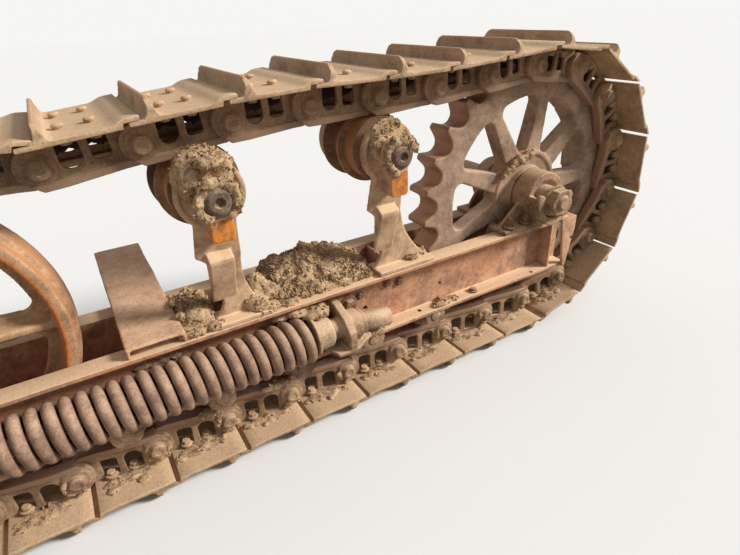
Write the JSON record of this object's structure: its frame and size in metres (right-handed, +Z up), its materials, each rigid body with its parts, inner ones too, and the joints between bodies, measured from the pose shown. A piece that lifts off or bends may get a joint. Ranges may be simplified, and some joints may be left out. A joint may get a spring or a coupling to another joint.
{
  "type": "crawler track unit",
  "caption": "Worn crawler track unit of an old bulldozer: shoe-and-link chain round a spoked sprocket and idler, on a channel frame with recoil spring, carrier rollers and track rollers.",
  "frame": {"origin": "centre of the bounding box on the floor", "axes": "+X to the rear of the machine along the track, +Y inboard towards the tractor, +Z up"},
  "size_m": [2.9316, 0.8044, 1.0808],
  "materials": {
    "shoe_steel": "rusted and dusty",
    "link_steel": "rusted, polished on the running faces",
    "cast_steel": "rusted and dusty",
    "shaft_steel": "rusted",
    "frame_steel": "orange rust under dust",
    "orange_paint": "remains of paint over rust",
    "spring_steel": "rusted and dusty",
    "dried_mud": "dry and crumbling"
  },
  "bodies": {
    "track_frame": {"track_shoes": "shoe_steel", "track_links_inner_a": "link_steel", "track_links_inner_b": "link_steel", "track_links_outer_a": "link_steel", "track_links_outer_b": "link_steel", "track_bushings": "link_steel", "track_pin_ends": "link_steel", "sprocket": "cast_steel", "sprocket_shaft": "shaft_steel", "sprocket_bearing_outer": "cast_steel", "sprocket_bearing_inner": "cast_steel", "sprocket_shaft_nut": "shaft_steel", "idler_axle": "shaft_steel", "idler_block_outer": "cast_steel", "idler_block_inner": "cast_steel", "recoil_yoke": "cast_steel", "frame_rail_outer": "frame_steel", "frame_rail_inner": "frame_steel", "frame_cross_plates": "frame_steel", "frame_rear_plate_outer": "frame_steel", "frame_rear_plate_inner": "frame_steel", "equaliser_bar": "frame_steel", "equaliser_leaves": "spring_steel", "carrier_roller_rear": "cast_steel", "carrier_shaft_rear": "shaft_steel", "carrier_bracket_rear": "orange_paint", "carrier_cap_rear": "cast_steel", "carrier_roller_front": "cast_steel", "carrier_shaft_front": "shaft_steel", "carrier_bracket_front": "orange_paint", "carrier_cap_front": "cast_steel", "track_rollers": "cast_steel", "track_roller_shafts": "shaft_steel", "track_roller_caps_outer": "cast_steel", "track_roller_caps_inner": "cast_steel", "recoil_spring": "spring_steel", "spring_seat_rear": "cast_steel", "spring_seat_front": "cast_steel", "recoil_rod": "shaft_steel", "recoil_bracket": "cast_steel", "recoil_tube": "shaft_steel", "mud_heap": "dried_mud"},
    "idler": {"idler_wheel": "cast_steel"}
  },
  "joints": [
    {"name": "idler_spin", "type": "hinge", "parent": "track_frame", "child": "idler", "pos_m": [-0.94199, -0.15775, 0.53886], "axis": [0, 1, 0], "continuous": true}
  ]
}
